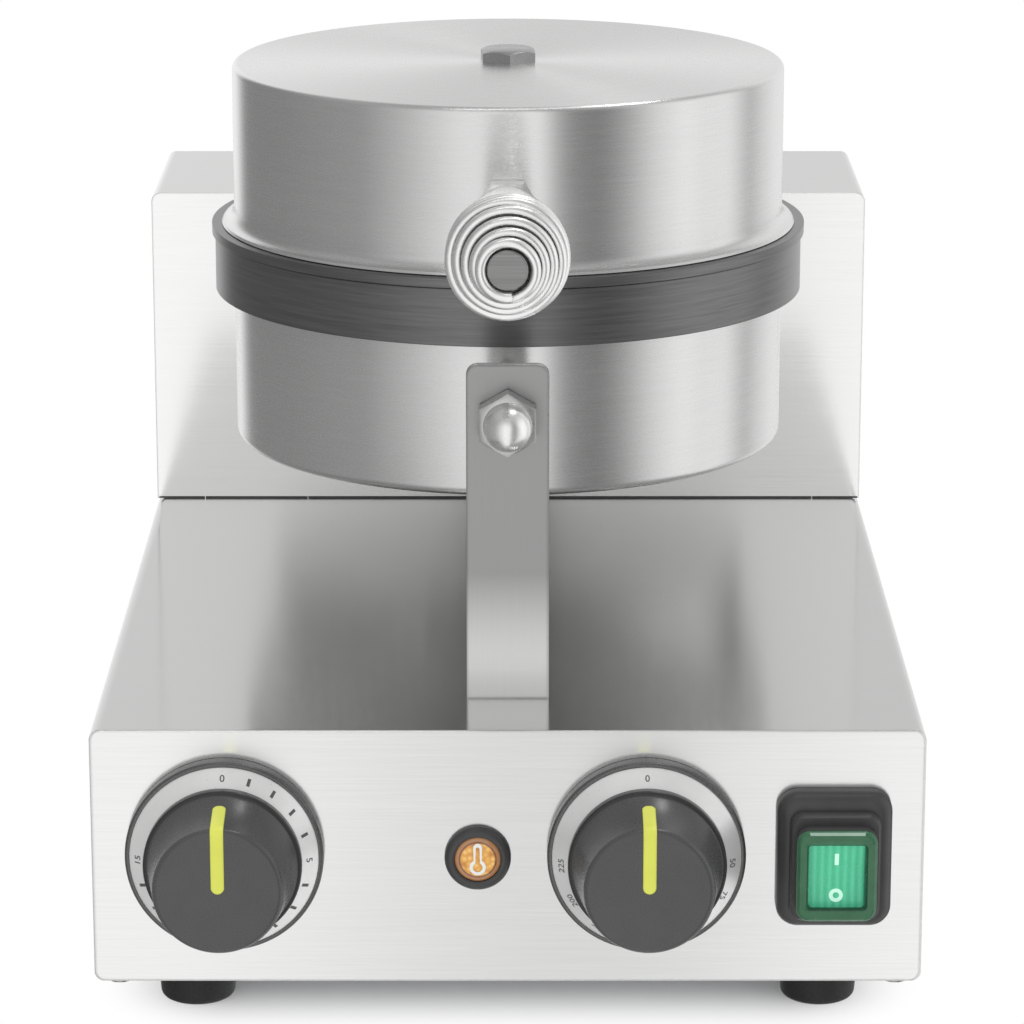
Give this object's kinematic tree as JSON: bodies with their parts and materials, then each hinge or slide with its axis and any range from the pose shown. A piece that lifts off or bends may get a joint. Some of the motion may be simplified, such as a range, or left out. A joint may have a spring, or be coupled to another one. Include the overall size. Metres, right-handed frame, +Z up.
{
  "type": "waffle maker",
  "caption": "Countertop round waffle maker: hinged upper iron over a fixed lower one in steel drums, coil handle, timer and thermostat knobs, rocker switch.",
  "frame": {"origin": "on the table under the axis of the two drums, midway between the front knobs' faces and the end of the cable gland", "axes": "+X to the right seen from the front, +Y to the rear tower, +Z up"},
  "size_m": [0.25, 0.408, 0.2748],
  "materials": {
    "stainless_sheet": "brushed stainless sheet, satin",
    "zinc_plate": "plain plated sheet",
    "steel_bar": "satin flat and round bar",
    "fastener": "plain bolts and nuts",
    "bright_plating": "bright nickel plating",
    "cast_plate": "dark coated casting, matt",
    "heater_tube": "heat-stained tube",
    "insulation": "mineral wool",
    "bronze": "plain bearing bronze",
    "rubber_foot": "black rubber",
    "black_plastic": "black plastic, matt",
    "knob_black": "black plastic, satin",
    "scale_silver": "silver ring with sunk marks",
    "pointer_lime": "lime inlay",
    "control_white": "off-white plastic",
    "lens_amber": "amber lens",
    "cap_green": "clear green soft cap",
    "rocker_green": "green rocker"
  },
  "bodies": {
    "base": {"base_housing": "stainless_sheet", "bottom_plate": "zinc_plate", "bottom_screws": "fastener", "foot_front_left": "rubber_foot", "foot_front_right": "rubber_foot", "foot_rear_left": "rubber_foot", "foot_rear_right": "rubber_foot", "foot_screws": "fastener", "tower_housing": "stainless_sheet", "tower_cover": "stainless_sheet", "cover_screws": "fastener", "cable_gland": "black_plastic", "gland_locknut": "black_plastic", "terminal_block": "control_white", "front_post": "steel_bar", "deck_bolts": "fastener", "post_dome_nut": "bright_plating", "support_stud": "fastener", "spacer_tube": "steel_bar", "stud_nut": "fastener", "lower_casing": "stainless_sheet", "lower_plate": "cast_plate", "lower_heater": "heater_tube", "lower_clamp_plate": "zinc_plate", "lower_insulation": "insulation", "lower_bolt": "fastener", "drum_block": "steel_bar", "drum_block_bolts": "fastener", "hinge_frame": "zinc_plate", "hinge_shaft": "steel_bar", "shaft_clips": "fastener", "stop_bar": "steel_bar", "timer_body": "control_white", "timer_bezel": "black_plastic", "timer_scale": "scale_silver", "thermostat_body": "control_white", "thermostat_bezel": "black_plastic", "thermostat_scale": "scale_silver", "indicator_bezel": "black_plastic", "indicator_lens": "lens_amber", "switch_frame": "black_plastic", "switch_cap": "cap_green"},
    "lid": {"upper_casing": "stainless_sheet", "upper_plate": "cast_plate", "upper_heater": "heater_tube", "upper_clamp_plate": "zinc_plate", "upper_insulation": "insulation", "top_bolt": "fastener", "handle_rod": "steel_bar", "handle_nuts": "fastener", "handle_coil": "bright_plating", "lid_bracket": "steel_bar", "lid_bracket_bolts": "fastener", "hinge_bushes": "bronze"},
    "timer_dial": {"timer_knob": "knob_black", "timer_pointer": "pointer_lime"},
    "thermostat_dial": {"thermostat_knob": "knob_black", "thermostat_pointer": "pointer_lime"},
    "rocker": {"switch_rocker": "rocker_green"}
  },
  "joints": [
    {"name": "lid_hinge", "type": "hinge", "parent": "base", "child": "lid", "pos_m": [0, 0.1385, 0.192], "axis": [-1, 0, 0], "range_deg": [0, 95]},
    {"name": "timer_turn", "type": "hinge", "parent": "base", "child": "timer_dial", "pos_m": [-0.0849, -0.17, 0.05625], "axis": [0, 1, 0], "range_deg": [0, 270]},
    {"name": "thermostat_turn", "type": "hinge", "parent": "base", "child": "thermostat_dial", "pos_m": [0.0416, -0.17, 0.05625], "axis": [0, 1, 0], "range_deg": [0, 270]},
    {"name": "switch_rock", "type": "hinge", "parent": "base", "child": "rocker", "pos_m": [0.0978, -0.172, 0.05475], "axis": [-1, 0, 0], "range_deg": [0, 12]}
  ]
}
